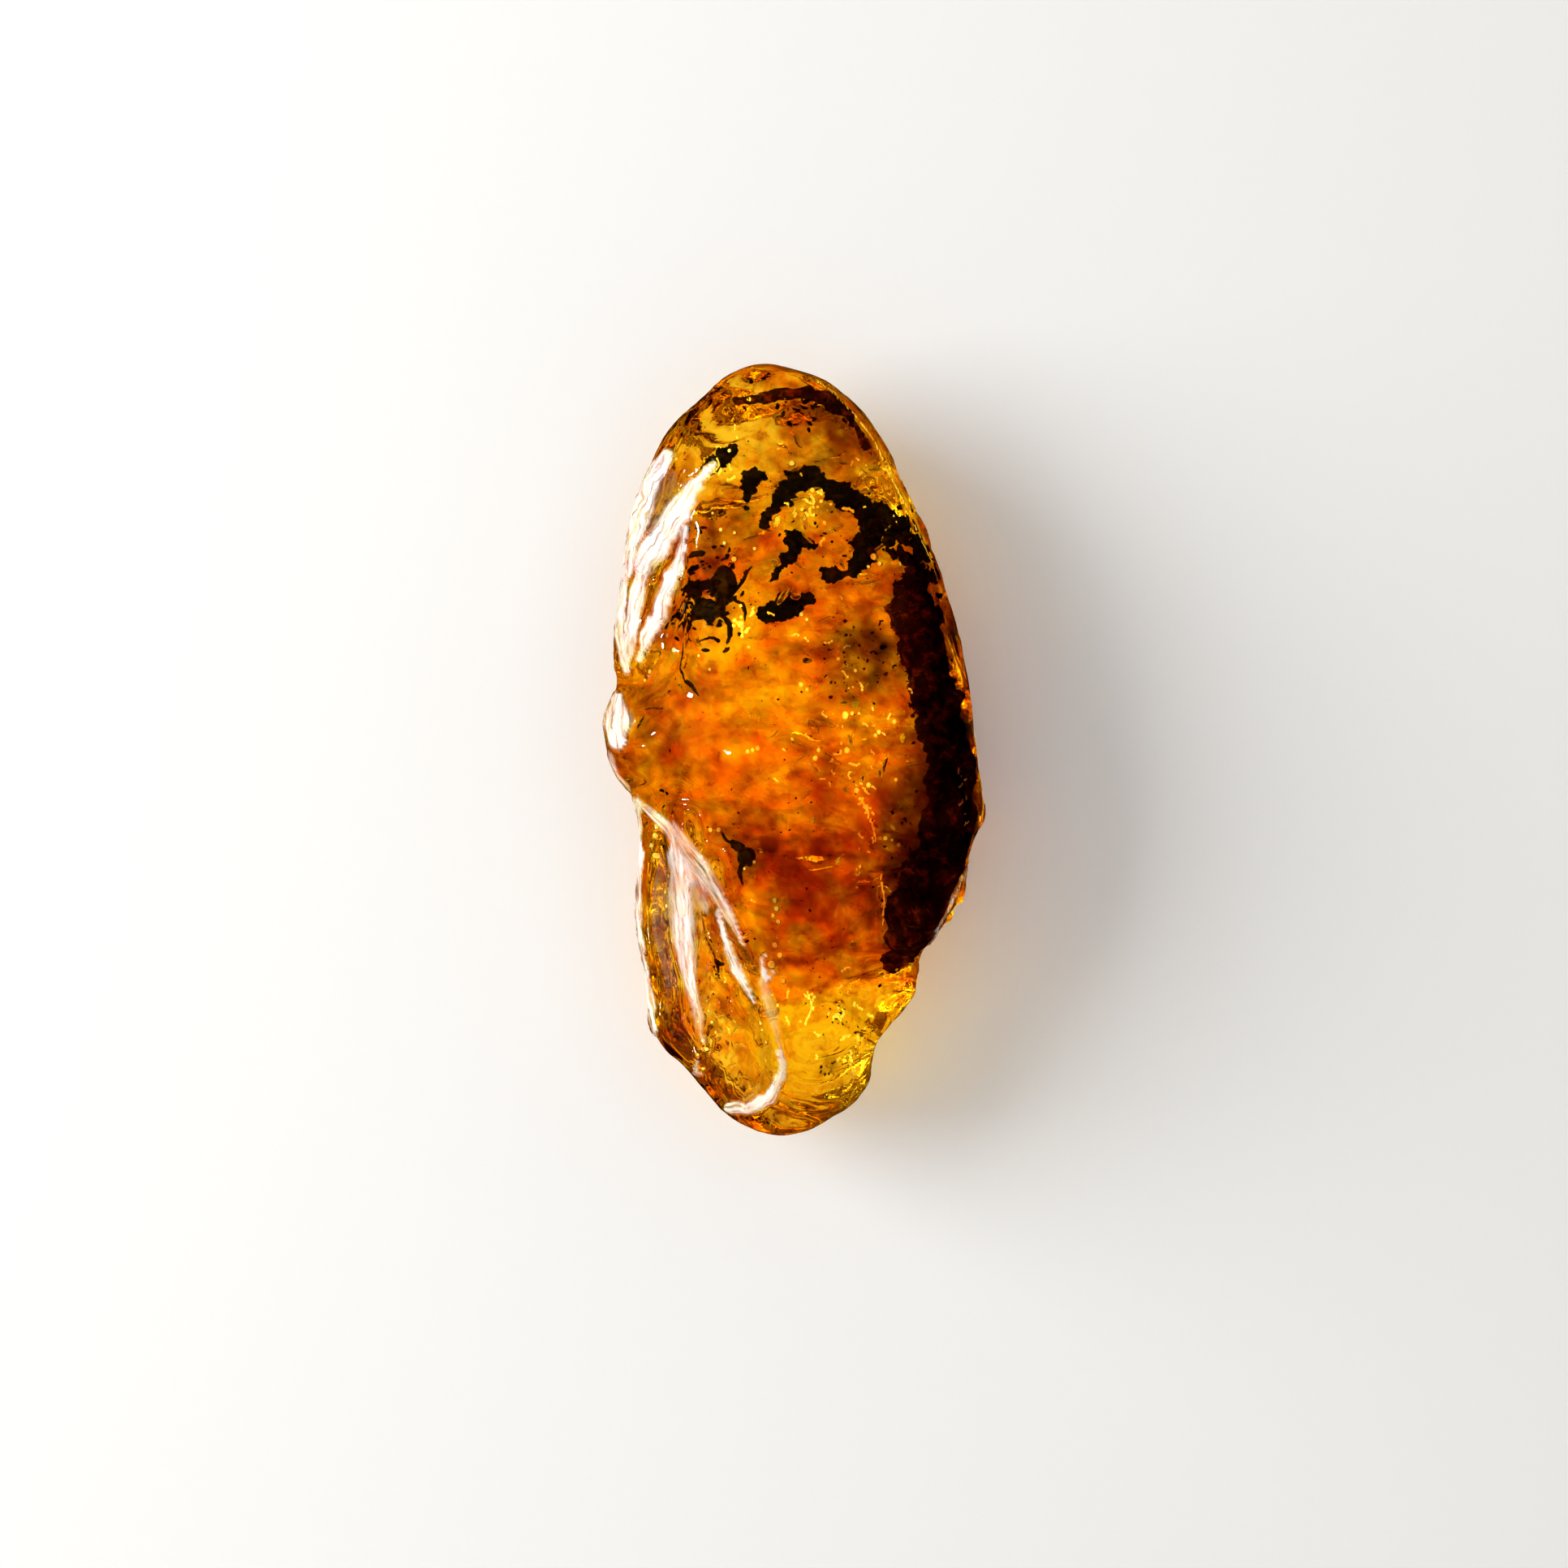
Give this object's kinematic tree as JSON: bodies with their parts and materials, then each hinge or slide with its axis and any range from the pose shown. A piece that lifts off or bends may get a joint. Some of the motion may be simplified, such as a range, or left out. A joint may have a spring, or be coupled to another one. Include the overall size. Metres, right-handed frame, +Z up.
{
  "type": "insect in amber",
  "caption": "Tumbled see-through amber nugget, lying flat, with insects and dark plant debris sealed inside it",
  "frame": {"origin": "centre of the bounding box on the surface that the nugget lies on", "axes": "+Y along the nugget's length towards its blunt end, +X across it, +Z up through its thickness"},
  "size_m": [0.0236, 0.0474, 0.0159],
  "materials": {
    "amber": "clear orange to red-brown fossil resin, polished by tumbling, golden where it is clouded",
    "bark": "dark brown, nearly black bark and plant splinters, ragged edges",
    "debris": "black-brown crumbly plant debris, matte",
    "insect": "near-black insect shell with a soft gloss"
  },
  "bodies": {
    "root": {"amber_lower": "amber", "amber_upper": "amber", "bark_strip": "bark", "debris_web": "debris", "debris_knot": "debris", "black_flake": "debris", "top_sliver": "bark", "side_crumb": "debris", "middle_crumb": "debris", "slit_sliver": "bark", "plant_needle": "bark", "insect": "insect", "round_beetle": "insect", "gnat": "insect"}
  },
  "joints": []
}
